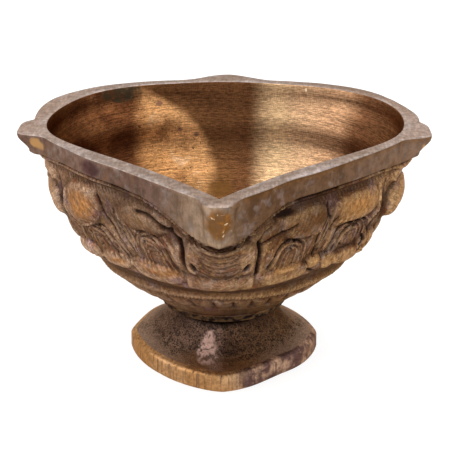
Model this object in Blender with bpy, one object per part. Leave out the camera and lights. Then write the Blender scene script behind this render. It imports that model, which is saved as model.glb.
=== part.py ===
"""Footed brass diya oil lamp: a cast four-cornered bowl brazed onto a cast four-cornered foot.

Units are metres and +Z is up.  The lamp stands on z = 0 with its axis on the origin.
The pouring and wick corner points along -Y; the other three lugs lie on +X, -X and +Y.
"""
import math

import bmesh
import bpy

for old in list(bpy.data.objects):
    bpy.data.objects.remove(old, do_unlink=True)

MM = 0.001

# ---- driving dimensions (mm) -------------------------------------------------------------
CORNER_RADIUS = 38.0          # axis to each lug tip: a three inch lamp across the corners
LAMP_HEIGHT = 44.9            # foot face to the ground rim
BOWL_BASE_Z = 11.4            # underside of the bowl's lowest band
FLOOR_Z = 16.6                # lowest point of the oil well
JOINT_GAP = 0.3               # clearance kept between neighbouring castings

# ---- rim plan, as fractions of CORNER_RADIUS ---------------------------------------------
# Each half of the plan is a straight spout side blended into a rounded back.
OUTER_SIDE_OFFSET = 0.708     # axis to the straight outer side beside the spout
OUTER_SIDE_ANGLE = 44.3       # direction of that side's normal, degrees from the spout
OUTER_HALF_WIDTH = 0.955
OUTER_BACK_DEPTH = 0.885
OUTER_FRONT_LIMIT = 1.4       # far enough forward that only the spout sides shape the front
OUTER_SQUARENESS = 3.0
INNER_SIDE_OFFSET = 0.626
INNER_SIDE_ANGLE = 39.0
SPOUT_OFFSET = 0.549          # narrower wedge that draws the inner edge out into the spout
SPOUT_ANGLE = 52.7
INNER_HALF_WIDTH = 0.885
INNER_BACK_DEPTH = 0.820
INNER_FRONT_LIMIT = 1.4
INNER_SQUARENESS = 2.7
CORNER_BLEND = 10.0           # larger is a tighter blend between a side and the back
SPOUT_BLEND = 16.0
BACK_CUSP = 0.045             # slight point of the inner edge towards the back lug
BACK_CUSP_WIDTH = 13.0        # degrees

# ---- lugs, as fractions of CORNER_RADIUS ---------------------------------------------------
LUG_TIP = 1.0
LUG_EDGE = 0.7                # how fast a lug fades at its half width
LUG_SPREAD = 0.5              # no lug reaches further round the rim than this, in radians
SIDE_LUG_SHIFT = 0.021        # side lugs sit a little behind the axis
# direction in degrees, half width, sideways shift, squareness, depth below the rim, taper
LUGS = (
    (-90.0, 0.062, 0.0, 4, 0.200, 0.085),
    (90.0, 0.125, 0.0, 2, 0.135, 0.0),
    (0.0, 0.108, SIDE_LUG_SHIFT, 6, 0.125, 0.055),
    (180.0, 0.108, -SIDE_LUG_SHIFT, 6, 0.125, 0.055),
)

# ---- bowl wall, as fractions of CORNER_RADIUS ----------------------------------------------
# height, scale of the four-cornered plan, and the radius its corners are rounded back to
RIM_Z = LAMP_HEIGHT / CORNER_RADIUS
BASE_Z = BOWL_BASE_Z / CORNER_RADIUS
BAND_LOW_Z = 1.088            # lower edge of the smooth rim band between the lugs
WALL = (
    (RIM_Z, 1.000, 1.300),
    (1.090, 1.008, 1.250),
    (1.060, 1.000, 0.970),
    (1.020, 0.995, 0.925),
    (0.976, 0.990, 0.905),
    (0.930, 0.982, 0.905),
    (0.870, 0.972, 0.900),
    (0.820, 0.962, 0.870),
    (0.760, 0.950, 0.817),
    (0.700, 0.940, 0.762),
    (0.650, 0.950, 0.722),
    (0.610, 1.000, 0.648),
    (0.530, 1.050, 0.556),
    (0.450, 1.050, 0.455),
    (0.370, 1.050, 0.355),
    (BASE_Z, 1.050, 0.315),
)
CORNER_SOFTNESS = 10.0
BAND_DIP_FRONT = 0.120        # how far the band's lower edge dips under the spout lug
BAND_DIP_BACK = 0.060
BAND_DIP_WIDTH = 16.0         # degrees
BAND_FADE_LOW = 0.900         # the dip's lift of the corners fades out between these heights
BAND_FADE_HIGH = 1.000
LEAST_WALL = 0.030            # thinnest wall left outside the oil well
RIM_WALL = 0.035              # extra thickness kept below the rim
RIM_WALL_DEPTH = 0.120
WELL_EDGE = 36.0

# ---- cast ornament: twelve leaf motifs, four of them on the corners ------------------------
MOTIF_COUNT = 12
HEAD_Z = 0.945                # middle of the domed leaf heads
HEAD_HEIGHT = 0.050           # half height of a head
HEAD_HALF = 0.60              # half width of a head, as a fraction of half the pitch
HEAD_RISE = 0.026
LEAF_TOP_Z = 0.885
LEAF_LOW_Z = 0.640            # lower tip of the leaves
LEAF_RISE = 0.020
LEAF_SCALLOP = 0.035          # how much higher the leaf edge sits between motifs
BAND_STEP = 0.014             # set-back of the wall under the smooth rim band
ROPE_Z = 0.580                # rope bead round the lower bowl
ROPE_HALF = 0.024
PETAL_Z = 0.496               # row of petals under the rope
PETAL_HALF = 0.040
PETAL_SWELL = 0.25            # how much the petals rise and fall
RING_Z = 0.400                # plain lowest band
RING_HALF = 0.044
BEAD_RISE = 0.014
BEAD_GAP = 0.030              # plain wall left between the leaves and the rope
STEP_MIDDLE = 0.014           # the set-back's middle and half height under the band's edge
STEP_HALF = 0.036

# ---- oil well ------------------------------------------------------------------------------
WELL_ROUND_RADIUS = 0.66
WELL_POWER = 2.1              # section of the well: 2 is an ellipse
WELL_TURN = 1.7               # how soon above the floor the well becomes four-cornered

# ---- spigot, foot and braze (mm) -----------------------------------------------------------
SPIGOT_RADIUS = 5.0
SPIGOT_LENGTH = 4.6
FOOT_CORNER_RADIUS = 18.4
FOOT_SIDE_RADIUS = 16.6
FOOT_CORNER_WIDTH = 24.0      # degrees over which a foot corner fades into its sides
PLATE_THICKNESS = 3.5
NECK_RADIUS = 9.6
# outside of the foot above its plate: radius, height, and how four-cornered it still is
FLANK = (
    (15.9, 4.3, 1.0),
    (14.6, 4.9, 1.0),
    (13.2, 5.9, 0.95),
    (12.0, 7.1, 0.85),
    (10.8, 8.5, 0.7),
)
NECK_SQUARE = 0.5
RECESS_SQUARE = 0.6
PLATE_CHAMFER = 0.4
NECK_SEAT_RADIUS = 8.4        # reduced seat at the top that the braze runs around
NECK_SEAT_HEIGHT = 1.1
RECESS_RADIUS = 12.4          # hollow cast into the underside
RECESS_DEPTH = 5.2
SOCKET_CLEARANCE = 0.35
SPIGOT_CHAMFER = 0.6
BRAZE_WIDTH = 1.45

WELL_STEPS = 12
BAND_STEPS = 15
LEAF_STEPS = 12
BEAD_STEPS = (0.98, 0.53, 0.0, -0.53, -0.98)

COLUMNS = 96
FOOT_COLUMNS = 72
RING_COLUMNS = 48


def lerp(a, b, t):
    return a + (b - a) * t


def smooth(t):
    t = max(0.0, min(1.0, t))
    return t * t * (3.0 - 2.0 * t)


def soft_min(a, b, power):
    return (a ** -power + b ** -power) ** (-1.0 / power)


def soft_max(a, b, power):
    return (a ** power + b ** power) ** (1.0 / power)


def from_spout(theta):
    """Angle away from the spout direction (-Y), 0 at the spout and pi at the back lug."""
    return math.acos(max(-1.0, min(1.0, -math.sin(theta))))


def straight_side(psi, offset, angle):
    return offset / max(0.2, math.cos(psi - math.radians(angle)))


def rounded(psi, half_width, back, front, squareness):
    depth = back if psi > math.pi / 2 else front
    across = (abs(math.sin(psi)) / half_width) ** squareness
    along = (abs(math.cos(psi)) / depth) ** squareness
    return (across + along) ** (-1.0 / squareness)


def outer_plan(theta):
    psi = from_spout(theta)
    side = straight_side(psi, OUTER_SIDE_OFFSET, OUTER_SIDE_ANGLE)
    back = rounded(psi, OUTER_HALF_WIDTH, OUTER_BACK_DEPTH, OUTER_FRONT_LIMIT, OUTER_SQUARENESS)
    return soft_min(side, back, CORNER_BLEND)


def inner_plan(theta):
    psi = from_spout(theta)
    side = straight_side(psi, INNER_SIDE_OFFSET, INNER_SIDE_ANGLE)
    spout = straight_side(psi, SPOUT_OFFSET, SPOUT_ANGLE)
    back = rounded(psi, INNER_HALF_WIDTH, INNER_BACK_DEPTH, INNER_FRONT_LIMIT, INNER_SQUARENESS)
    return soft_min(soft_max(side, spout, SPOUT_BLEND), back, CORNER_BLEND)


def back_cusp(theta):
    return BACK_CUSP * math.exp(-((math.pi - from_spout(theta)) / math.radians(BACK_CUSP_WIDTH)) ** 2)


def wall_station(z):
    """Plan scale and corner radius at a height."""
    for (za, sa, ca), (zb, sb, cb) in zip(WALL, WALL[1:]):
        if z >= zb:
            t = (za - z) / (za - zb)
            return lerp(sa, sb, t), lerp(ca, cb, t)
    return WALL[-1][1], WALL[-1][2]


def band_edge(theta):
    """Height of the rim band's lower edge, which dips under the front and back lugs."""
    psi = from_spout(theta)
    near = min(psi, math.pi - psi) / math.radians(BAND_DIP_WIDTH)
    dip = BAND_DIP_FRONT if psi < math.pi / 2 else BAND_DIP_BACK
    return BAND_LOW_Z - dip * math.exp(-near ** 2)


def wall_radius(theta, z):
    """Plain outside wall: the four-cornered plan with its corners rounded back lower down."""
    fade = smooth((z - BAND_FADE_LOW) / (BAND_FADE_HIGH - BAND_FADE_LOW))
    lift = (BAND_LOW_Z - band_edge(theta)) * fade
    scale = wall_station(z)[0]
    corner = wall_station(z + lift)[1]
    return soft_min(outer_plan(theta) * scale, corner, CORNER_SOFTNESS)


def lug_reach(theta, z, wall):
    """Extra radius of the lug nearest to this direction."""
    best = 0.0
    for degrees, half, shift, order, depth, taper in LUGS:
        drop = max(0.0, (RIM_Z - z) / depth)
        centre = math.radians(degrees)
        turn = math.atan2(math.sin(theta - centre), math.cos(theta - centre))
        if drop >= 1.0 or abs(turn) > LUG_SPREAD:
            continue
        across = (math.sin(turn) * wall - shift) / half
        weight = math.exp(-LUG_EDGE * abs(across) ** order)
        tip = LUG_TIP / math.cos(turn) - taper * smooth(drop)
        best = max(best, (tip - wall) * weight * math.sqrt(1.0 - drop * drop))
    return best


def bead(z, centre, half):
    offset = (z - centre) / half
    return math.sqrt(1.0 - offset * offset) if abs(offset) < 1.0 else 0.0


def ornament(theta, z):
    """Raised work on the outside wall, as a fraction of CORNER_RADIUS."""
    pitch = 2.0 * math.pi / MOTIF_COUNT
    index = round((theta + math.pi / 2) / pitch)
    across = (theta + math.pi / 2 - index * pitch) / (pitch / 2)
    rise = 0.0
    rise -= BAND_STEP * bead(z, band_edge(theta) - STEP_MIDDLE, STEP_HALF)
    head = (across / HEAD_HALF) ** 2 + ((z - HEAD_Z) / HEAD_HEIGHT) ** 2
    if head < 1.0:
        rise += HEAD_RISE * math.sqrt(1.0 - head)
    edge = LEAF_LOW_Z + LEAF_SCALLOP * across * across
    if edge < z < LEAF_TOP_Z:
        along = (z - edge) / (LEAF_TOP_Z - edge)
        crown = 1.0 - abs(across) ** 3
        rise += LEAF_RISE * crown * (1.0 - 0.6 * smooth(along))
    if BASE_Z < z < LEAF_LOW_Z - BEAD_GAP:
        swell = 1.0 - PETAL_SWELL + PETAL_SWELL * math.cos(2.0 * MOTIF_COUNT * (theta + math.pi / 2))
        rise += BEAD_RISE * bead(z, ROPE_Z, ROPE_HALF)
        rise += BEAD_RISE * swell * bead(z, PETAL_Z, PETAL_HALF)
        rise += BEAD_RISE * bead(z, RING_Z, RING_HALF)
    return rise


def outer_radius(theta, z):
    wall = wall_radius(theta, z)
    return wall + ornament(theta, z) + lug_reach(theta, z, wall)


def well_radius(theta, z):
    floor = FLOOR_Z / CORNER_RADIUS
    s = max(0.0, min(1.0, (z - floor) / (RIM_Z - floor)))
    section = (1.0 - (1.0 - s) ** WELL_POWER) ** (1.0 / WELL_POWER)
    turn = 1.0 - smooth(s * WELL_TURN)
    plain = section * lerp(inner_plan(theta), WELL_ROUND_RADIUS, turn) + back_cusp(theta) * s ** 4
    thickness = LEAST_WALL + RIM_WALL * smooth((RIM_Z - z) / RIM_WALL_DEPTH)
    return soft_min(plain, wall_radius(theta, z) - thickness, WELL_EDGE)


def material(name, colour, roughness):
    made = bpy.data.materials.new(name)
    made.use_nodes = True
    shader = made.node_tree.nodes["Principled BSDF"]
    shader.inputs["Base Color"].default_value = (*colour, 1.0)
    shader.inputs["Metallic"].default_value = 1.0
    shader.inputs["Roughness"].default_value = roughness
    made.diffuse_color = (*colour, 1.0)
    return made


def add_body(name, rings, start_pole, end_pole, finish, sharp_degrees):
    """Skin closed rings of (x, y, z) points in mm; a pole closes an end, None joins the ends."""
    verts = [tuple(value * MM for value in point) for ring in rings for point in ring]
    count = len(rings[0])
    faces = []
    pairs = [(i, i + 1) for i in range(len(rings) - 1)]
    if start_pole is None:
        pairs.append((len(rings) - 1, 0))
    for low, high in pairs:
        for j in range(count):
            k = (j + 1) % count
            faces.append((low * count + j, low * count + k, high * count + k, high * count + j))
    for pole, ring in ((start_pole, 0), (end_pole, len(rings) - 1)):
        if pole is None:
            continue
        verts.append(tuple(value * MM for value in pole))
        tip = len(verts) - 1
        for j in range(count):
            faces.append((ring * count + j, tip, ring * count + (j + 1) % count))
    mesh = bpy.data.meshes.new(name)
    mesh.from_pydata(verts, [], faces)
    work = bmesh.new()
    work.from_mesh(mesh)
    bmesh.ops.recalc_face_normals(work, faces=work.faces)
    if work.calc_volume(signed=True) < 0.0:
        bmesh.ops.reverse_faces(work, faces=work.faces)
    bmesh.ops.triangulate(work, faces=[f for f in work.faces if len(f.verts) > 3])
    work.to_mesh(mesh)
    work.free()
    mesh.polygons.foreach_set("use_smooth", [True] * len(mesh.polygons))
    mesh.set_sharp_from_angle(angle=math.radians(sharp_degrees))
    mesh.materials.append(finish)
    body = bpy.data.objects.new(name, mesh)
    bpy.context.scene.collection.objects.link(body)
    return body


def ring_at(radius_of, z, count):
    points = []
    for j in range(count):
        theta = -math.pi / 2 + 2.0 * math.pi * j / count
        radius = radius_of(theta)
        points.append((radius * math.cos(theta), radius * math.sin(theta), z))
    return points


def spaced(high, low, count):
    """Evenly spaced heights from high down to just above low."""
    return [lerp(high, low, step / count) for step in range(count)]


# ---- bowl ----------------------------------------------------------------------------------
R = CORNER_RADIUS
rings = []
floor_z = FLOOR_Z / R
for step in range(1, WELL_STEPS + 1):
    height = 1.0 - math.cos(step / WELL_STEPS * math.pi / 2)
    z = lerp(floor_z, RIM_Z, height)
    rings.append(ring_at(lambda t, z=z: R * well_radius(t, z), z * R, COLUMNS))

dip_low = BAND_LOW_Z - BAND_DIP_FRONT
outer_levels = spaced(RIM_Z, dip_low, BAND_STEPS) + spaced(dip_low, LEAF_LOW_Z, LEAF_STEPS) + [LEAF_LOW_Z]
for centre, half in ((ROPE_Z, ROPE_HALF), (PETAL_Z, PETAL_HALF), (RING_Z, RING_HALF)):
    outer_levels += [centre + half * step for step in BEAD_STEPS]
outer_levels.append(BASE_Z)
for z in outer_levels:
    rings.append(ring_at(lambda t, z=z: R * outer_radius(t, z), z * R, COLUMNS))

seat_low = BOWL_BASE_Z - SPIGOT_LENGTH
for radius, z in ((NECK_SEAT_RADIUS, BOWL_BASE_Z), (SPIGOT_RADIUS, BOWL_BASE_Z),
                  (SPIGOT_RADIUS, seat_low + SPIGOT_CHAMFER), (SPIGOT_RADIUS - SPIGOT_CHAMFER, seat_low)):
    rings.append(ring_at(lambda t, radius=radius: radius, z, COLUMNS))

bowl_brass = material("bowl_brass", (0.42, 0.27, 0.14), 0.42)
add_body("bowl", rings, (0.0, 0.0, FLOOR_Z), (0.0, 0.0, seat_low), bowl_brass, 38.0)


# ---- foot ----------------------------------------------------------------------------------
def foot_plan(theta, squareness):
    """Foot outline: round sides drawn out into four corners."""
    quarter = math.pi / 2
    turn = abs(theta - quarter * round(theta / quarter))
    corner = math.exp(-(turn / math.radians(FOOT_CORNER_WIDTH)) ** 1.3)
    return lerp(1.0, lerp(FOOT_SIDE_RADIUS / FOOT_CORNER_RADIUS, 1.0, corner), squareness)


foot_top = BOWL_BASE_Z - JOINT_GAP
seat_z = foot_top - NECK_SEAT_HEIGHT
socket_radius = SPIGOT_RADIUS + SOCKET_CLEARANCE
socket_floor = seat_low - SOCKET_CLEARANCE
# radius and height along the outside of the foot, then how four-cornered that level is
foot_section = [
    (FOOT_CORNER_RADIUS - PLATE_CHAMFER, 0.0, 1.0),
    (FOOT_CORNER_RADIUS, PLATE_CHAMFER, 1.0),
    (FOOT_CORNER_RADIUS, PLATE_THICKNESS - PLATE_CHAMFER, 1.0),
    (FOOT_CORNER_RADIUS - PLATE_CHAMFER, PLATE_THICKNESS, 1.0),
    *FLANK,
    (NECK_RADIUS, seat_z, NECK_SQUARE),
    (NECK_SEAT_RADIUS, seat_z, 0.0),
    (NECK_SEAT_RADIUS, foot_top, 0.0),
    (socket_radius, foot_top, 0.0),
    (socket_radius, socket_floor, 0.0),
]
rings = []
for radius, z in ((RECESS_RADIUS - 4.0, RECESS_DEPTH), (RECESS_RADIUS - 1.6, RECESS_DEPTH - 0.5),
                  (RECESS_RADIUS - 0.4, RECESS_DEPTH - 2.0), (RECESS_RADIUS, 0.0)):
    rings.append(ring_at(lambda t, radius=radius: radius * foot_plan(t, RECESS_SQUARE), z, FOOT_COLUMNS))
for radius, z, square in foot_section:
    rings.append(ring_at(lambda t, r=radius, q=square: r * foot_plan(t, q), z, FOOT_COLUMNS))

foot_brass = material("foot_brass", (0.30, 0.18, 0.09), 0.50)
add_body("foot", rings, (0.0, 0.0, RECESS_DEPTH), (0.0, 0.0, socket_floor), foot_brass, 38.0)


# ---- braze round the neck joint --------------------------------------------------------------
braze_in = NECK_SEAT_RADIUS + JOINT_GAP
braze_low = seat_z + JOINT_GAP
braze_high = BOWL_BASE_Z - JOINT_GAP
braze_section = (
    (braze_in, braze_low),
    (braze_in + 0.5 * BRAZE_WIDTH, braze_low),
    (braze_in + 0.8 * BRAZE_WIDTH, lerp(braze_low, braze_high, 0.35)),
    (braze_in + BRAZE_WIDTH, lerp(braze_low, braze_high, 0.75)),
    (braze_in + BRAZE_WIDTH, braze_high),
    (braze_in, braze_high),
)
rings = [ring_at(lambda t, r=r: r, z, RING_COLUMNS) for r, z in braze_section]
braze_alloy = material("braze_alloy", (0.38, 0.24, 0.12), 0.55)
add_body("braze_ring", rings, None, None, braze_alloy, 38.0)
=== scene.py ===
"""Looks of the footed brass diya lamp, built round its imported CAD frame."""
import math

import bpy
import numpy as np
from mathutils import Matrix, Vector


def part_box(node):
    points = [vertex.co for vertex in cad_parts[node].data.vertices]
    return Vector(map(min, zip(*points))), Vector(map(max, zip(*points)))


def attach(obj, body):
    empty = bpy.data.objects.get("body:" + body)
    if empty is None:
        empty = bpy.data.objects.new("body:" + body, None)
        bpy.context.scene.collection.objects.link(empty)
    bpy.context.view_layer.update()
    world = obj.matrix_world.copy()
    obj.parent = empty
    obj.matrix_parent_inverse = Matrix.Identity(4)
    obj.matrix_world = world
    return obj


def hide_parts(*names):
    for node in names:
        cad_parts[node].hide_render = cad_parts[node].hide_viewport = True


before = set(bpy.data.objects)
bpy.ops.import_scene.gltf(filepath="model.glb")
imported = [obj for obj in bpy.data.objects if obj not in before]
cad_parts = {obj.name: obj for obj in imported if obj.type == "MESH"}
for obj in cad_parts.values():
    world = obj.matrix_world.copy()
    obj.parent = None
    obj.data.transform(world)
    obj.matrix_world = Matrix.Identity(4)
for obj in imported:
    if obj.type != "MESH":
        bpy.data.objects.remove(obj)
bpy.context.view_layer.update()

BOWL_LOW, BOWL_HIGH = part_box("bowl")
FOOT_LOW, FOOT_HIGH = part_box("foot")

# ---- driving dimensions, read from the frame ----
UNIT = (BOWL_HIGH[0] - BOWL_LOW[0]) / 2  # axis to a lug tip in metres; the lengths below are in this unit
RIM_Z = BOWL_HIGH[2] / UNIT
SPIGOT_LOW_Z = BOWL_LOW[2] / UNIT
FOOT_TOP_Z = FOOT_HIGH[2] / UNIT
FOOT_CORNER = (FOOT_HIGH[0] - FOOT_LOW[0]) / 2 / UNIT
MM = 0.001 / UNIT
BASE_Z = FOOT_TOP_Z + 0.3 * MM
FRONT = -math.pi / 2

rng = np.random.default_rng(7)


# ---- small numeric helpers ----
def lerp(a, b, t):
    return a + (b - a) * t


def smooth(low, high, x):
    t = np.clip((x - low) / (high - low), 0.0, 1.0)
    return t * t * (3.0 - 2.0 * t)


def hump(x, width):
    return np.exp(-((x / width) ** 2))


def soft_min(a, b, power):
    return (a ** -power + b ** -power) ** (-1.0 / power)


def soft_max(a, b, power):
    return (a ** power + b ** power) ** (1.0 / power)


def turn_from(theta, centre):
    return np.arctan2(np.sin(theta - centre), np.cos(theta - centre))


def between(x, low, low_full, high_full, high):
    """1 from low_full to high_full, fading to 0 at low and at high."""
    return smooth(low, low_full, x) * smooth(high, high_full, x)


def bulges(theta, marks):
    """Sum of smooth bulges round the lamp, each given as (height, degrees, width in radians)."""
    return sum(height * hump(turn_from(theta, math.radians(at)), width) for height, at, width in marks)


def blur(field, rows, cols):
    """Box blur run twice, wrapped round the lamp and clamped along its height."""
    out = field.copy()
    for _ in range(2):
        total = np.zeros_like(out)
        for step in range(-cols, cols + 1):
            total += np.roll(out, step, axis=1)
        out = total / (2 * cols + 1)
        padded = np.pad(out, ((rows, rows), (0, 0)), mode="edge")
        total = np.zeros_like(out)
        for step in range(2 * rows + 1):
            total += padded[step:step + out.shape[0]]
        out = total / (2 * rows + 1)
    return out


# ---- rim and wall plan ----
def side_line(psi, offset, degrees):
    return offset / np.maximum(0.2, np.cos(psi - math.radians(degrees)))


def rounded(psi, half_width, back, front, squareness):
    depth = np.where(psi > math.pi / 2, back, front)
    across = (np.abs(np.sin(psi)) / half_width) ** squareness
    along = (np.abs(np.cos(psi)) / depth) ** squareness
    return (across + along) ** (-1.0 / squareness)


def outer_plan(theta):
    psi = np.abs(turn_from(theta, FRONT))
    plan = soft_min(side_line(psi, 0.712, 44.3), rounded(psi, 0.955, 0.885, 1.4, 3.0), 10.0)
    # hand-cast unevenness: fuller back left and right flanks, slightly bellied left side
    marks = ((0.030, 152, 0.24), (0.030, 14, 0.17), (0.014, -146, 0.20), (-0.016, -66, 0.14))
    return plan + bulges(theta, marks)


def inner_plan(theta):
    psi = np.abs(turn_from(theta, FRONT))
    side = side_line(psi, 0.626, 39.0)
    spout = side_line(psi, 0.549, 52.7)
    plan = soft_min(soft_max(side, spout, 16.0), rounded(psi, 0.885, 0.820, 1.4, 2.7), 10.0)
    return plan + bulges(theta, ((0.026, 27, 0.30), (-0.016, 152, 0.25)))


# ---- wall section: height, side scale, and the radius the corners are rounded to ----
STATIONS = (
    (RIM_Z, 1.000, 1.300), (1.090, 1.008, 1.250), (1.060, 1.000, 0.970), (1.020, 0.995, 0.925),
    (0.976, 0.990, 0.905), (0.930, 0.982, 0.905), (0.870, 0.972, 0.900), (0.820, 0.962, 0.870),
    (0.760, 0.950, 0.817), (0.700, 0.940, 0.762), (0.650, 0.950, 0.722), (0.610, 1.000, 0.648),
    (0.575, 1.050, 0.606), (0.530, 1.050, 0.556), (0.490, 1.050, 0.508), (0.450, 1.050, 0.455),
    (0.410, 1.050, 0.398), (0.370, 1.050, 0.355), (BASE_Z, 1.050, 0.315),
)
CORNER_SOFTNESS = 10.0
BAND_LOW = 1.088


def folded(theta):
    """Angle from the nearest of the front and back corners, in degrees, 0 to 90."""
    psi = np.degrees(np.abs(turn_from(theta, FRONT)))
    return np.minimum(psi, 180.0 - psi)


def is_front(theta):
    return np.sin(theta) < 0.0


def band_edge(theta):
    """Height of the rim band's lower edge; it dips under every lug, most at the front."""
    p = folded(theta)
    front = np.where(is_front(theta), 0.120, 0.060)
    reach = np.where(np.cos(theta) > 0, 15.0, 17.0)
    dip = front * np.exp(-((p / reach) ** 2.2)) + 0.024 * hump(90.0 - p, 13.0)
    return BAND_LOW - 0.011 * np.cos(theta) - dip


def wall_radius(theta, z):
    fine = np.linspace(BASE_Z, RIM_Z, 400)
    kernel = np.hanning(21)
    kernel /= kernel.sum()
    lift = (BAND_LOW - band_edge(theta)) * smooth(0.90, 1.00, z)
    curves = []
    for part, level in ((1, z), (2, z + lift)):
        known = np.interp(fine, [s[0] for s in STATIONS][::-1], [s[part] for s in STATIONS][::-1])
        known = np.convolve(np.pad(known, 10, mode="reflect", reflect_type="odd"), kernel, mode="valid")
        curves.append(np.interp(level, fine, known))
    scale, corner = curves
    return soft_min(outer_plan(theta) * scale, corner, CORNER_SOFTNESS)


# ---- lugs: centre, half width, sideways shift, squareness, depth below the rim ----
LUGS = (
    ("front", FRONT, 0.062, 0.0, 4, 0.200),
    ("back", math.pi / 2, 0.125, 0.0, 2, 0.135),
    ("right", 0.0, 0.110, 0.020, 6, 0.125),
    ("left", math.pi, 0.105, -0.022, 6, 0.120),
)


def lug_reach(theta, z, wall):
    best = np.zeros_like(wall)
    for name, centre, half, shift, order, depth in LUGS:
        drop = np.clip((RIM_Z - z) / depth, 0.0, 1.0)
        turn = turn_from(theta, centre)
        across = (np.sin(turn) * wall - shift) / half
        weight = np.exp(-0.7 * np.abs(across) ** order) * (np.abs(turn) < 0.5)
        target = 1.0 / np.cos(turn)
        if name == "front":
            target = target - 0.070 * smooth(0.0, 1.0, drop) - 0.02 * smooth(0.85, 1.0, drop)
            fall = 1.0 - smooth(0.90, 1.0, drop)
        elif name == "back":
            fall = np.sqrt(1.0 - drop ** 2)
        else:
            target = target - 0.055 * smooth(0.15, 0.75, drop)
            fall = 1.0 - smooth(0.78, 1.0, drop)
        best = np.maximum(best, np.maximum(target - wall, 0.0) * weight * fall)
    return best


WELL_FLOOR_Z = 0.437
WELL_ROUND = 0.66
WELL_POWER = 2.1
WELL_TURN = 1.7
LEAST_WALL = 0.030


def well_radius(theta, z):
    s = np.clip((z - WELL_FLOOR_Z) / (RIM_Z - WELL_FLOOR_Z), 0.0, 1.0)
    section = (1.0 - (1.0 - s) ** WELL_POWER) ** (1.0 / WELL_POWER)
    turn = 1.0 - smooth(0.0, 1.0 / WELL_TURN, s)
    cusp = 0.045 * hump(np.abs(turn_from(theta, math.pi / 2)), 0.23)
    plain = section * lerp(inner_plan(theta), WELL_ROUND, turn) + cusp * s ** 4
    wall = wall_radius(theta, z) - LEAST_WALL - 0.035 * smooth(RIM_Z, RIM_Z - 0.12, z)
    return soft_min(plain, np.maximum(wall, 0.05), 36.0)


# ---- cast relief, drawn over (p, z): p in degrees from the front or back corner, z up the wall ----
ARC_PER_DEGREE = 0.0126


def stroke(p, z, points, width):
    """Soft line through the given points: 1 on the line, falling away over the width."""
    knots = np.array(points, dtype=float)
    t = np.linspace(0, len(knots) - 1, 6 * (len(knots) - 1) + 1)
    k = np.clip(t.astype(int), 0, len(knots) - 2)
    f = (t - k)[:, None]
    before = knots[np.maximum(k - 1, 0)]
    after = knots[np.minimum(k + 2, len(knots) - 1)]
    a, b = knots[k], knots[k + 1]
    path = 0.5 * (2 * a + (b - before) * f + (2 * before - 5 * a + 4 * b - after) * f ** 2
                  + (3 * a - before - 3 * b + after) * f ** 3)
    path = path * np.array([ARC_PER_DEGREE, 1.0])
    x = p * ARC_PER_DEGREE
    best = np.full(z.shape, 9.0)
    for start, end in zip(path[:-1], path[1:]):
        step = end - start
        along = np.clip(((x - start[0]) * step[0] + (z - start[1]) * step[1]) / (step @ step), 0.0, 1.0)
        off_x = x - start[0] - along * step[0]
        off_z = z - start[1] - along * step[1]
        best = np.minimum(best, off_x ** 2 + off_z ** 2)
    return np.exp(-best / width ** 2)


def spot(p, z, centre_p, centre_z, half_p, half_z, lean=0.0):
    """0 at and beyond the edge of a leaning ellipse, rising to 1 at its middle."""
    dp = (p - centre_p - lean * (centre_z - z)) / half_p
    dz = (z - centre_z) / half_z
    return np.clip(1.0 - np.abs(dp) ** 2.4 - np.abs(dz) ** 2.4, 0.0, 1.0)


# the two sides were cast from hand-cut moulds and differ; every mark is given as (points, width, depth)
LEFT_CUTS = (
    (((12.9, .935), (12.4, .89), (12.2, .845), (11.2, .79), (10.6, .755)), .009, .026),
    (((31, 1.008), (25.5, 1.01), (20, .985), (15.5, .955), (13.2, .925)), .01, .016),
    (((44.6, .966), (43.3, .925), (39.7, .863), (34.0, .789)), .0055, .014),
    (((36.2, .884), (32.0, .826), (29.5, .786)), .0045, .009),
    (((52.3, 1.012), (50.2, .94), (47.2, .9), (44.4, .866), (40.6, .801), (38.4, .745)), .0056, .014),
    (((64, .812), (57, .842), (52, .858), (47.2, .832), (43.4, .789), (38.7, .727)), .0048, .011),
    (((60.5, .826), (54, .838), (50, .813), (46.3, .765), (43.4, .727)), .0046, .01),
    (((57, .805), (52, .8), (48.5, .768), (46, .73)), .0042, .007),
    (((31.2, .9), (28.3, .918), (23.6, .918), (19.8, .894), (17.0, .838), (14.7, .777)), .0042, .009),
    (((29.3, .882), (27.0, .9), (23.6, .894), (20.8, .863), (19.8, .845)), .004, .009),
    (((28.3, .826), (23.6, .832), (19.8, .845)), .0036, .007),
    (((28.3, .807), (22.7, .814), (18.9, .826)), .0036, .006),
    (((27.5, .858), (24.5, .85), (23.0, .866)), .0034, .006),
    (((38.0, .694), (34.5, .672), (31.5, .655)), .0065, .012),
    (((32.1, .702), (28.0, .69), (24.5, .678)), .004, .007),
    (((36.0, .735), (30.0, .752), (24.0, .758)), .0036, .005),
    (((77.5, 1.000), (77.5, .92), (78.5, .862), (76.0, .806), (70.5, .775), (66.0, .72), (62, .668)),
     .006, .011),
)
LEFT_RIDGES = (
    (((72.7, .975), (73.0, .913), (74.8, .863), (73.2, .822), (68.0, .801), (63.0, .82), (57, .852)),
     .0058, .012),
    (((42.8, .958), (37.8, .917), (32.1, .891), (27.5, .905)), .0052, .009),
    (((47.5, .93), (43.2, .885), (37.6, .8)), .0044, .007),
    (((40.6, .905), (37.0, .85), (32.2, .785)), .0044, .006),
    (((68.0, .795), (64.2, .752), (60.4, .69)), .0058, .009),
    (((59, .83), (53, .848), (48.6, .823), (44.8, .776), (41.0, .725)), .0042, .006),
    (((30.2, .89), (27.4, .909), (23.4, .906), (20.2, .878), (18.2, .838)), .004, .005),
    (((18.9, .925), (16.5, .895), (14.6, .84), (13.0, .777)), .005, .007),
)
LEFT_PITS = ((60.0, .789, 1.3, .016), (53.4, .758, 1.0, .011), (28.0, .868, 0.8, .008),
             (55.5, .666, 1.6, .016), (18.5, .972, 3.6, .013))
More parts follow.
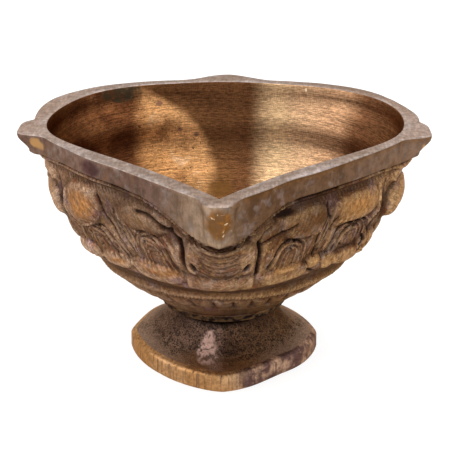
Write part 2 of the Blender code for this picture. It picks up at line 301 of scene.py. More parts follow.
RIGHT_CUTS = (
    (((12.3, .925), (13.0, .88), (12.8, .838), (12.3, .79), (12.0, .752)), .0095, .026),
    (((12.3, .925), (14.2, .962), (17.9, .99), (19.5, 1.01)), .0045, .009),
    (((13.2, .91), (17.0, .925), (22.7, .938), (27.6, .962)), .005, .012),
    (((17.0, .764), (18.4, .814), (19.8, .857), (23.6, .879), (28.3, .876), (31.4, .85)), .0052, .013),
    (((16.7, .768), (17.9, .805)), .008, .012),
    (((19.8, .77), (21.2, .815), (23.2, .846), (27.0, .852), (29.4, .832)), .004, .008),
    (((22.2, .785), (23.6, .815), (26.0, .826), (28.0, .806)), .0038, .007),
    (((32.4, .836), (31.4, .8), (30.2, .775)), .004, .008),
    (((43.0, .918), (40.6, .869), (39.2, .805), (38.2, .762)), .0075, .018),
    (((48.6, .925), (44.6, .868), (42.6, .814), (40.6, .775)), .0062, .016),
    (((46.0, .748), (48.2, .814), (51.0, .857), (55.0, .871), (61.6, .858), (67, .846)), .0064, .015),
    (((49.1, .755), (51.0, .8), (53.8, .836), (58.0, .846), (62.5, .836)), .0052, .013),
    (((52.6, .768), (54.4, .8), (57.0, .818), (61.0, .812)), .004, .008),
    (((56.0, .78), (58.0, .794), (61.0, .788)), .0036, .006),
    (((43.2, 1.012), (43.4, .965), (45.0, .935)), .0058, .011),
    (((66.4, .765), (65.8, .73), (65.0, .7)), .0075, .016),
    (((76.5, 1.005), (76.8, .93), (78.0, .862), (73.5, .812), (69.0, .76)), .006, .012),
    (((36.5, .69), (40.0, .668), (43.5, .652)), .0062, .012),
    (((34.6, .74), (36.0, .7)), .0045, .008),
    (((43.0, .742), (43.6, .7), (44.6, .664)), .0042, .009),
)
RIGHT_RIDGES = (
    (((72.3, 1.012), (72.9, .96), (73.2, .913), (74.6, .86), (70.8, .833), (66.5, .838)), .005, .012),
    (((44.6, .921), (40.6, .888), (35.9, .864), (32.5, .858)), .005, .009),
    (((45.8, .905), (42.8, .85), (40.3, .77)), .005, .008),
    (((50.6, .905), (46.6, .855), (43.6, .765)), .005, .008),
    (((49.2, .79), (51.0, .828), (54.4, .855), (59.0, .862)), .0044, .006),
    (((52.4, .79), (54.4, .82), (57.6, .832), (61.0, .826)), .0042, .006),
    (((18.2, .776), (19.8, .828), (22.0, .862), (26.0, .867), (30.0, .853)), .0044, .006),
    (((70.0, .826), (67.6, .789), (66.8, .745)), .0052, .01),
    (((71.5, .76), (70.0, .715), (66.0, .69)), .0055, .009),
)
RIGHT_PITS = ((53.4, .764, 1.0, .01), (22.5, 1.022, 5.2, .018), (26.0, .84, 0.7, .006))


# heights and half heights of the level bands, and how often their patterns repeat round the lamp
BIB_Z = 0.716
BIB_HALF = 0.044
ROPE_Z = 0.580
ROPE_HALF = 0.021
ROPE_STRANDS = 232.0
ROPE_GROOVE_Z = 0.552
PETALS = 36
PETAL_Z = 0.496
PETAL_HALF = 0.040
PETAL_GAP_Z = 0.495
PETAL_GROOVE_Z = 0.448
LOWEST_Z = 0.400
LOWEST_HALF = 0.042
EDGE_TEETH = 210.0
# a cut this deep is fully dark with painted shade; the corner panels end between these angles; the leaves
# fade out here
DARK_DEPTH = 0.015
PANEL_IN = 10.6
PANEL_OUT = 12.4
LEAVES_LOW = (0.648, 0.668)


def bar(z, middle, half):
    """Section of a level round bar: 1 on its middle, 0 at and beyond its edges."""
    return np.sqrt(np.clip(1.0 - ((z - middle) / half) ** 2, 0.0, 1.0))


def carve(h, cut, mark, depth, dark):
    """Sink a mark into the height h, and note in cut how dark the painted shade in its hollow is."""
    h -= depth * mark
    np.maximum(cut, dark * mark, out=cut)


def leaf_relief(p, z, cuts, ridges, pits, heads):
    """Two leaves of one side: domed heads over nested arches over smooth scalloped lips."""
    h = np.zeros_like(z)
    for centre_p, centre_z, half_p, half_z, lean, height in heads:
        h += height * spot(p, z, centre_p, centre_z, half_p, half_z, lean) ** 0.6
    cut = np.zeros_like(z)
    for points, width, depth in cuts:
        carve(h, cut, stroke(p, z, points, width), depth, min(1.0, depth / DARK_DEPTH))
    for points, width, height in ridges:
        h += height * stroke(p, z, points, width)
    for centre_p, centre_z, half_p, half_z in pits:
        carve(h, cut, spot(p, z, centre_p, centre_z, half_p, half_z, 20.0) ** 0.7, 0.014, 0.85)
    return h, cut


# raised parts, as (middle p, middle z, half p, half z, lean, height): heads, leaf bodies and lips
LEFT_HEADS = (
    (63.5, .925, 11.5, .12, 28.0, .028), (29.5, .968, 13.0, .062, 40.0, .02),
    (53.0, .775, 16.0, .1, 90.0, .011), (23.5, .83, 11.5, .1, 30.0, .012),
    (25.0, .718, 13.5, .054, 20.0, .021), (46.5, .704, 9.0, .048, 60.0, .018),
    (66.5, .69, 9.0, .05, 60.0, .028), (58.0, .668, 3.0, .03, 30.0, .012),
)
RIGHT_HEADS = (
    (59.0, .94, 15.0, .085, 12.0, .028), (32.5, .955, 11.0, .086, 10.0, .024),
    (56.0, .78, 13.0, .095, 40.0, .012),
    (25.0, .805, 9.5, .085, 20.0, .012), (25.0, .704, 11.5, .046, 10.0, .02),
    (38.7, .727, 4.6, .036, 10.0, .022),
    (47.5, .7, 5.0, .044, 10.0, .022), (59.0, .688, 9.0, .052, 30.0, .034),
    (71.0, .715, 7.0, .066, 20.0, .03),
)


def corner_relief(q, z, side, boss=0.0):
    """Panel under a lug; q in degrees from the corner. Two lips, fine folds between cheeks, a plain bib."""
    h = np.zeros_like(z)
    cut = np.zeros_like(z)
    inside = smooth(PANEL_OUT, PANEL_IN, q)
    plain = 1.0 - side
    # raised lip hugging the band's edge, the gap under it, then the second lip
    edge = BAND_LOW - 0.120 * np.exp(-((q / 16.0) ** 2.2))
    h += 0.010 * hump(z - edge + 0.014, 0.008) * smooth(14.0, 9.0, q)
    carve(h, cut, hump(z - edge + 0.036, 0.012) * smooth(9.5, 6.0, q) * plain, 0.006, 0.25)
    lip = 0.912 + 0.00035 * q * q
    h += 0.016 * hump(z - lip, 0.014) * smooth(9.5, 7.0, q) * plain
    # folds
    wave = np.cos(2 * math.pi * (z - 0.0004 * q * q + 0.002 * np.sin(0.9 * q)) / 0.029)
    middle = smooth(6.6, 4.6, q) * smooth(0.758, 0.775, z) * smooth(0.900, 0.885, z + 0.10 * side)
    h += 0.0032 * wave * middle
    carve(h, cut, middle, 0.0, 0.22 * np.maximum(-wave, 0.0) ** 2)
    # cheeks and the pits inside them
    h += 0.012 * spot(q, z, 8.6, .850, 2.6, .085) ** 0.5
    for centre_q, centre_z, half_q, half_z in ((8.6, .962, 1.7, .026), (8.2, .812, 1.2, .026)):
        carve(h, cut, spot(q, z, centre_q, centre_z, half_q, half_z, -20.0) ** 0.7 * plain, 0.018, 0.8)
    # bib
    h += 0.016 * bar(z, BIB_Z, BIB_HALF) * smooth(13.0, 10.5, q)
    # the side corners carry a fuller boss
    h += boss * spot(q, z, 0.0, .872, 12.0, .098) ** 0.6
    h += side * 0.024 * hump(z - 1.015, 0.040) * smooth(12.0, 7.0, q)
    return h * inside, cut * inside


def fine_lines(theta, z):
    """A smooth phase and its mask: hair lines are chased wherever the phase passes a whole number."""
    p = folded(theta)
    right = np.cos(theta) > 0
    left = ~right
    phase = np.zeros_like(z)
    mask = np.zeros_like(z)
    # each set of arches is (side, middle p, middle z, half p, half z, number of lines, lean)
    arches = (
        (left, 23.8, .838, 10.0, .090, 4.6, -40.0), (left, 53.5, .785, 14.0, .085, 5.0, -62.0),
        (right, 26.0, .815, 8.6, .072, 4.2, -26.0), (right, 58.5, .800, 12.5, .085, 5.2, -30.0),
    )
    for where, centre_p, centre_z, half_p, half_z, count, lean in arches:
        dp = (p - centre_p - lean * (centre_z - z)) / half_p
        dz = np.maximum((z - centre_z) / half_z, 0.0)
        radius = np.sqrt(dp ** 2 + dz ** 2)
        inside = smooth(1.05, 0.90, radius) * smooth(0.06, 0.16, radius) * smooth(0.742, 0.765, z) * where
        phase = np.where(inside > 0, radius * count, phase)
        mask = np.maximum(mask, inside)
    # slanting lines between the leaves, and level ones across the corner panels
    slant = p - np.where(right, 38.5, 34.0) - np.where(right, 36.0, 60.0) * (z - 0.80)
    inside = hump(slant - 2.0, 4.6) * between(z, 0.765, 0.785, 0.930, 0.965)
    phase = np.where(inside > mask, slant * 0.62, phase)
    mask = np.maximum(mask, inside)
    q = np.minimum(p, 90.0 - p)
    inside = smooth(10.5, 8.5, q) * between(z, 0.745, 0.760, 0.930, 0.955)
    phase = np.where(inside > mask, (z - 0.0006 * q * q) / 0.0125 + 0.25 * np.sin(0.7 * q), phase)
    return phase, np.maximum(mask, 0.45 * inside)


def stroke_coordinates(theta, z):
    """Coordinates across and along the chasing strokes: slanting on leaves, level on corner panels."""
    p = folded(theta)
    q = np.minimum(p, 90.0 - p)
    lean = np.where(np.cos(theta) > 0, 32.0, 52.0)
    panel = smooth(PANEL_OUT, PANEL_IN, q)
    low = smooth(0.670, 0.650, z)
    across = lerp(ARC_PER_DEGREE * (p - lean * z), z - 0.0006 * q * q, np.maximum(panel, low))
    along = lerp(z, ARC_PER_DEGREE * q, np.maximum(panel, low))
    return across, along


def edge_trim(h, cut, theta, z, p, edge):
    """Set-back under the smooth band, a thin ridge and the toothed strip."""
    h -= 0.010 * smooth(edge + 0.001, edge - 0.004, z) * smooth(edge - 0.070, edge - 0.040, z)
    line = hump(z - edge + 0.006, 0.0042)
    carve(h, cut, line, 0.006, lerp(0.25, 0.75, smooth(8.0, 16.0, p)))
    h += 0.0085 * hump(z - edge + 0.017, 0.0055)
    carve(h, cut, hump(z - edge + 0.029, 0.0050) * smooth(10.0, 18.0, p), 0.004, 0.55)
    teeth = 0.5 + 0.5 * np.sin(theta * EDGE_TEETH + 120.0 * z)
    strip = hump(z - edge + 0.046, 0.0095) * between(p, 30.0, 42.0, 78.0, 88.0)
    h += 0.0045 * teeth * strip
    carve(h, cut, strip, 0.0, 0.6 * (1.0 - teeth) ** 2)


def lower_bands(h, cut, theta, z, right):
    """Recess, rope, petals and the plain lowest band, with a painted shadow below it."""
    carve(h, cut, between(z, 0.598, 0.612, 0.650, 0.664), 0.012, 0.30)
    rope = bar(z, ROPE_Z, ROPE_HALF)
    strand = np.sin(theta * ROPE_STRANDS - 150.0 * z + 0.8 * np.sin(9.0 * theta))
    h += rope * (0.011 + np.where(right, 0.0046, 0.0030) * strand)
    carve(h, cut, rope, 0.0, np.where(right, 0.8, 0.5) * np.maximum(-strand, 0.0) ** 2)
    carve(h, cut, hump(z - ROPE_GROOVE_Z, 0.0065), 0.006, 0.9)
    turns = (theta - FRONT) * PETALS / (2 * math.pi) + 0.12 * np.sin(5.0 * theta) + 1.6 * (z - 0.50)
    aside = np.abs(np.mod(turns + 0.5, 1.0) - 0.5) * 2
    h += bar(z, PETAL_Z + 0.018 * aside, PETAL_HALF) * (0.014 - 0.009 * aside ** 3)
    carve(h, cut, hump(aside - 1.0, 0.16) * hump(z - PETAL_GAP_Z, 0.030), 0.011, 0.95)
    carve(h, cut, hump(z - PETAL_GROOVE_Z - 0.014 * aside, 0.0075), 0.006, 0.9)
    h += 0.012 * bar(z, LOWEST_Z, LOWEST_HALF) ** 0.8
    # painted shadow: the wall below the lowest band is fully darkened
    carve(h, cut, smooth(0.352, 0.330, z), 0.0, 1.0)


def worn_places(p, p_leaf, z, right):
    """Where handling has rubbed the cast work bright: heads, lips, the side bosses and the rope."""
    right_head = spot(p_leaf, z, 58.0, .945, 13.0, .070, 12.0)
    heads = np.where(right, right_head, spot(p_leaf, z, 62.0, .930, 8.5, .085, 28.0))
    right_lips = np.maximum(spot(p_leaf, z, 38.7, .730, 4.0, .030), spot(p_leaf, z, 47.5, .700, 4.0, .036))
    worn = np.maximum(heads, np.where(right, right_lips, spot(p_leaf, z, 45.0, .702, 6.0, .024, 60.0)))
    others = (
        0.25 * spot(p_leaf, z, 30.0, .960, 11.0, .055, 40.0),
        0.8 * spot(p_leaf, z, 22.0, .745, 11.0, .034, 20.0),
        np.where(right, 0.9, 0.3) * spot(p, z, 5.5, .908, 4.0, .012),
        0.9 * spot(90.0 - p, z, 0.0, .890, 9.0, .060),
        0.75 * hump(z - ROPE_Z - 0.008, 0.012),
    )
    for place in others:
        worn = np.maximum(worn, place)
    return worn


def wall_relief(theta, z):
    """Height of the cast work over the plain wall, how deeply each place is cut, and where it is worn."""
    p = folded(theta)
    wobble = 0.5 * np.sin(7.0 * theta + 9.0 * z) + 0.35 * np.sin(17.0 * theta - 14.0 * z)
    back = np.where(is_front(theta), 0.0, 1.2)
    p_leaf = p + wobble * 0.25 + back * np.sin(3.0 * theta)
    right = np.cos(theta) > 0
    left_leaf, left_cut = leaf_relief(p_leaf, z, LEFT_CUTS, LEFT_RIDGES, LEFT_PITS, LEFT_HEADS)
    right_leaf, right_cut = leaf_relief(p_leaf, z, RIGHT_CUTS, RIGHT_RIDGES, RIGHT_PITS, RIGHT_HEADS)
    leaf = np.where(right, right_leaf, left_leaf)
    leaf_cut = np.where(right, right_cut, 0.8 * left_cut)
    front, front_cut = corner_relief(p, z, 0.0)
    flank, flank_cut = corner_relief(90.0 - p, z, 1.0, np.where(right, 0.052, 0.030))
    body = smooth(PANEL_IN, PANEL_OUT, p) * smooth(PANEL_IN, PANEL_OUT, 90.0 - p)
    h = leaf * body + front + flank
    cut = np.maximum(leaf_cut * body, np.maximum(front_cut, flank_cut))
    # everything sits between the rim band and the recess over the rope
    edge = band_edge(theta)
    keep = smooth(edge - 0.026, edge - 0.046, z) * smooth(*LEAVES_LOW, z)
    near_corner = np.maximum(smooth(14.0, 9.0, p), smooth(14.0, 9.0, 90.0 - p))
    keep = lerp(keep, smooth(edge, edge - 0.006, z) * smooth(*LEAVES_LOW, z), near_corner)
    h = h * keep
    cut = cut * keep
    # rounded nose of the front lug, with a shallow hollow each side
    nose = between(z, 0.975, 1.000, 1.120, 1.165) * np.where(is_front(theta), 1.0, 0.0)
    h += nose * (0.010 * hump(p, 2.4) - 0.009 * hump(p - 5.0, 1.3))
    edge_trim(h, cut, theta, z, p, edge)
    lower_bands(h, cut, theta, z, right)
    worn = worn_places(p, p_leaf, z, right)
    return h, cut, worn * smooth(edge - 0.03, edge - 0.05, z)


# ---- mesh building ----
def columns(count, crowding):
    """Angles round the lamp, crowded towards the front."""
    t = np.arange(count) / count
    return FRONT + 2 * math.pi * t - crowding * np.sin(2 * math.pi * t)


def ring_xyz(radius, theta, z):
    return np.stack([radius * np.cos(theta), radius * np.sin(theta), np.broadcast_to(z, radius.shape)], -1)


def stitch(low_start, low_count, high_start, high_count):
    """Faces between two rings; either has the same count as the other or four times as many."""
    faces = []
    if low_count == high_count:
        for j in range(low_count):
            k = (j + 1) % low_count
            faces.append((low_start + j, low_start + k, high_start + k, high_start + j))
        return faces
    fine_is_high = high_count > low_count
    coarse_start, coarse = (low_start, low_count) if fine_is_high else (high_start, high_count)
    fine_start, fine = (high_start, high_count) if fine_is_high else (low_start, low_count)
    for j in range(coarse):
        a = coarse_start + j
        b = coarse_start + (j + 1) % coarse
        f = [fine_start + (4 * j + n) % fine for n in range(5)]
        fan = [(a, f[1], f[0]), (a, f[2], f[1]), (a, b, f[2]), (b, f[3], f[2]), (b, f[4], f[3])]
        faces += fan if fine_is_high else [face[::-1] for face in fan]
    return faces


def skin(name, rings, start_pole, end_pole, slots, slot_of_ring, smooth_angle, attributes):
    """One closed mesh from a run of rings; slot_of_ring gives the faces after each ring their material."""
    counts = [len(ring) for ring in rings]
    starts = np.concatenate([[0], np.cumsum(counts)])
    faces = []
    face_slots = []
    for n in range(len(rings) - 1):
        made = stitch(int(starts[n]), counts[n], int(starts[n + 1]), counts[n + 1])
        faces += made
        face_slots += [slot_of_ring[n]] * len(made)
    verts = np.vstack(rings + [np.array([start_pole]), np.array([end_pole])])
    last, tip = (int(start) for start in starts[-2:])
    faces += [((c + 1) % counts[0], c, tip) for c in range(counts[0])]
    faces += [(last + c, last + (c + 1) % counts[-1], tip + 1) for c in range(counts[-1])]
    face_slots += [slot_of_ring[0]] * counts[0] + [slot_of_ring[-1]] * counts[-1]
    mesh = bpy.data.meshes.new(name)
    mesh.from_pydata((verts * UNIT).tolist(), [], faces)
    mesh.update()
    for made in slots:
        mesh.materials.append(made)
    mesh.polygons.foreach_set("material_index", face_slots)
    mesh.polygons.foreach_set("use_smooth", [True] * len(mesh.polygons))
    mesh.set_sharp_from_angle(angle=math.radians(smooth_angle))
    for key, fields in attributes.items():
        values = np.concatenate(fields + [np.zeros(2)]).astype(np.float32)
        mesh.attributes.new(key, "FLOAT", "POINT").data.foreach_set("value", values)
    obj = bpy.data.objects.new(name, mesh)
    bpy.context.scene.collection.objects.link(obj)
    return obj


def surface_normals(grid):
    across = np.roll(grid, -1, axis=1) - np.roll(grid, 1, axis=1)
    along = np.gradient(grid, axis=0)
    normal = np.cross(across, -along)
    return normal / np.maximum(np.linalg.norm(normal, axis=-1, keepdims=True), 1e-9)


# ---- materials ----
NOISE_MIDDLE = (0.35, 0.65)
NOISE_SPAN = (0.36, 0.64)
WARM_GREY = (0.72, 0.58, 0.48, 1.0)


def with_alpha(colour):
    return colour if hasattr(colour, "is_output") else (*colour, 1.0)


class Nodes:
    """Short forms for building a node tree; colour is the base colour so far."""

    def __init__(self, name):
        self.material = bpy.data.materials.new(name)
        self.material.use_nodes = True
        self.tree = self.material.node_tree
        self.shader = self.tree.nodes["Principled BSDF"]
        self.object = self.node("ShaderNodeTexCoord", {}).outputs["Object"]
        per_unit = self.scaled(1 / UNIT, 1 / UNIT, 1 / UNIT)
        self.x, self.y, self.z = self.node("ShaderNodeSeparateXYZ", {0: per_unit}).outputs

    def put(self, socket, value):
        if hasattr(value, "is_output"):
            self.tree.links.new(value, socket)
        else:
            socket.default_value = value

    def node(self, kind, inputs, **settings):
        """New node, its inputs set or linked by name or number."""
        made = self.tree.nodes.new(kind)
        for key, value in settings.items():
            setattr(made, key, value)
        for key, value in inputs.items():
            self.put(made.inputs[key], value)
        return made

    def math(self, operation, a, b=0.0, c=0.0, clamp=False):
        made = self.node("ShaderNodeMath", {0: a, 1: b, 2: c}, operation=operation, use_clamp=clamp)
        return made.outputs[0]

    def times(self, first, *others):
        """Product of sockets and plain numbers."""
        for factor in others:
            first = self.math("MULTIPLY", first, factor)
        return first

    def plus(self, first, *others):
        for term in others:
            first = self.math("ADD", first, term)
        return first

    def minus(self, a, b):
        return self.math("SUBTRACT", a, b)

    def ramp(self, value, low, high, to_low=0.0, to_high=1.0):
        """Smooth step from to_low, at low, to to_high, at high."""
        inputs = {"Value": value, "From Min": low, "From Max": high, "To Min": to_low, "To Max": to_high}
        return self.node("ShaderNodeMapRange", inputs, interpolation_type="SMOOTHSTEP").outputs["Result"]

    def near(self, value, centre, width):
        """1 where the value is at the centre, fading to 0 a width away."""
        return self.ramp(self.math("ABSOLUTE", self.minus(value, centre)), 0.0, width, 1.0, 0.0)

    def patch(self, centre, half, rag=0.0):
        """Ragged ellipsoid mask round a place on the lamp, in lamp units."""
        terms = []
        for axis, middle, reach in zip((self.x, self.y, self.z), centre, half):
            terms.append(self.math("POWER", self.math("DIVIDE", self.minus(axis, middle), reach), 2.0))
        if rag:
            terms.append(self.times(self.minus(self.noise(260.0), 0.5), rag))
        return self.ramp(self.plus(*terms), 0.35, 1.0, 1.0, 0.0)

    def mix(self, factor, a, b, blend="MIX"):
        inputs = {"Factor": factor, 6: with_alpha(a), 7: with_alpha(b)}
        return self.node("ShaderNodeMix", inputs, data_type="RGBA", blend_type=blend).outputs[2]

    def over(self, tone, *masks):
        """Lay a tone over the colour so far, as strongly as the product of the masks says."""
        self.colour = self.mix(self.times(*masks), self.colour, tone)

    def shade(self, value, darkest, brightest):
        """Scale the colour so far by a noise value, so its texture follows its own tone."""
        gain = self.ramp(value, *NOISE_SPAN, darkest, brightest)
        grey = self.node("ShaderNodeCombineXYZ", {0: gain, 1: gain, 2: gain}).outputs[0]
        self.colour = self.mix(1.0, self.colour, grey, "MULTIPLY")

    def bands(self, value, stops):
        """Colour ramp; stops are (position, colour)."""
        made = self.node("ShaderNodeValToRGB", {"Fac": value})
        ramp = made.color_ramp
        ramp.interpolation = "EASE"
        while len(ramp.elements) < len(stops):
            ramp.elements.new(0.5)
        for element, (position, colour) in zip(ramp.elements, stops):
            element.position = position
            element.color = with_alpha(colour)
        return made.outputs["Color"]

    def attribute(self, name):
        return self.node("ShaderNodeAttribute", {}, attribute_name=name).outputs["Fac"]

    def scaled(self, x, y, z):
        made = self.node("ShaderNodeVectorMath", {0: self.object, 1: (x, y, z)}, operation="MULTIPLY")
        return made.outputs[0]

    def noise(self, scale, detail=4.0, rough=0.55, distortion=0.0, vector=None):
        inputs = {"Vector": vector or self.object, "Scale": scale, "Detail": detail, "Roughness": rough,
                  "Distortion": distortion}
        return self.node("ShaderNodeTexNoise", inputs).outputs["Fac"]

    def stretched(self, scale, detail):
        """Noise with its own scale along each axis."""
        return self.noise(1.0, detail, vector=self.scaled(*scale))

    def bump(self, height, strength, distance):
        inputs = {"Strength": strength, "Distance": distance, "Height": height}
        return self.node("ShaderNodeBump", inputs).outputs["Normal"]

    def finish(self, roughness, normal, metallic=1.0):
        inputs = {"Base Color": self.colour, "Roughness": roughness, "Metallic": metallic}
        if metallic:
            inputs["Specular Tint"] = WARM_GREY
        if normal is not None:
            inputs["Normal"] = normal
        for key, value in inputs.items():
            self.put(self.shader.inputs[key], value)
        return self.material


def rim_metal():
    """Ground flat of the rim: pale dull brass, mottled, with bright edges, part wear and part painted
    highlight.
    """
    n = Nodes("ground_rim")
    grain = n.noise(1500.0, 3.0)
    drift = n.noise(55.0, 3.0)
    streak = n.stretched((90.0, 700.0, 90.0), 2.0)
    n.colour = n.mix(n.ramp(drift, *NOISE_MIDDLE), (0.29, 0.215, 0.175), (0.385, 0.32, 0.295))
    n.over((0.22, 0.16, 0.13), n.ramp(grain, 0.45, 0.75), 0.5)
    n.over((0.46, 0.4, 0.38), n.ramp(streak, 0.5, 0.8), 0.3)
    mottled = n.noise(420.0, 4.0, 0.6)
    n.over((0.2, 0.125, 0.085), n.ramp(mottled, 0.54, 0.7), 0.45)
    far = n.ramp(n.math("ABSOLUTE", n.x), 0.55, 0.95)
    n.over((0.46, 0.345, 0.285), far, 0.5)
    # bright rim edges: part wear, part painted highlight
    edge = n.times(n.attribute("worn"), n.ramp(mottled, 0.35, 0.6))
    n.over((0.58, 0.53, 0.52), edge, 0.75)
    n.shade(n.noise(850.0, 5.0, 0.65), 0.80, 1.20)
    n.shade(n.stretched((2400.0, 420.0, 400.0), 3.0), 0.88, 1.14)
    rough = n.ramp(drift, 0.3, 0.7, 0.36, 0.48)
    return n.finish(rough, n.bump(n.plus(grain, mottled), 0.16, 0.00012))


def band_look(n):
    """Filed band: grey brown on the left, warmer and darker on the right (that split is painted light and
    shade), with the rubbed ends of the lugs.
    """
    drift = n.noise(60.0)
    files = n.stretched((2600.0, 2600.0, 90.0), 3.0)
    grain = n.noise(1800.0, 3.0)
    # painted light and shade: the front left is paler and the right darker, as light falls from the left
    side = n.ramp(n.x, -0.04, 0.14)
    front = n.near(n.x, 0.0, 0.30)
    pale = n.mix(side, n.mix(front, (0.165, 0.102, 0.078), (0.42, 0.315, 0.23)), (0.145, 0.082, 0.048))
    deep = n.mix(side, n.mix(front, (0.115, 0.066, 0.048), (0.32, 0.22, 0.145)), (0.1, 0.05, 0.025))
    n.colour = n.mix(n.ramp(drift, *NOISE_MIDDLE), deep, pale)
    n.over((0.09, 0.052, 0.034), n.ramp(files, 0.45, 0.75), 0.45)
    far_right = n.ramp(n.x, 0.45, 0.70)
    n.over((0.215, 0.14, 0.1), far_right, 0.6)
    mottled = n.noise(380.0, 5.0, 0.65)
    n.over((0.15, 0.068, 0.03), n.ramp(mottled, 0.52, 0.68), 0.4)
    n.over((0.235, 0.19, 0.175), n.ramp(mottled, 0.47, 0.36), 0.35)
    stain = n.patch((-0.58, -0.40, 1.135), (0.085, 0.085, 0.050), 1.2)
    n.over((0.06, 0.026, 0.03), stain, 0.8)
    under_edge = n.times(n.ramp(n.z, RIM_Z - 0.04, RIM_Z - 0.004), n.ramp(n.x, 0.02, 0.1))
    n.over((0.16, 0.07, 0.02), under_edge, 0.55)
    n.shade(n.noise(620.0, 5.0, 0.65), 0.80, 1.22)
    knob = n.patch((0.0, -0.98, 1.095), (0.068, 0.12, 0.085), 1.4)
    n.over((0.15, 0.062, 0.015), knob, 0.85)
    ember = n.times(knob, n.ramp(n.noise(650.0), 0.5, 0.62))
    n.over((0.29, 0.115, 0.024), ember, 0.8)
    # painted highlight dots on the front lug's nose
    fleck = n.times(knob, n.ramp(n.noise(800.0, 2.0), 0.65, 0.72))
    n.over((0.8, 0.6, 0.4), fleck, 0.85)
    nub = n.patch((-0.900, -0.125, 1.142), (0.046, 0.050, 0.042), 3.6)
    n.over((0.46, 0.25, 0.095), nub, 0.85)
    n.over((0.085, 0.036, 0.02), n.patch((-0.9, -0.13, 1.14), (0.018, 0.022, 0.014), 0.6))
    streak = n.patch((0.955, -0.060, 1.140), (0.014, 0.030, 0.034), 0.6)
    n.over((0.6, 0.33, 0.11), streak, 0.9)
    return n.colour, n.plus(files, n.times(grain, 0.5))


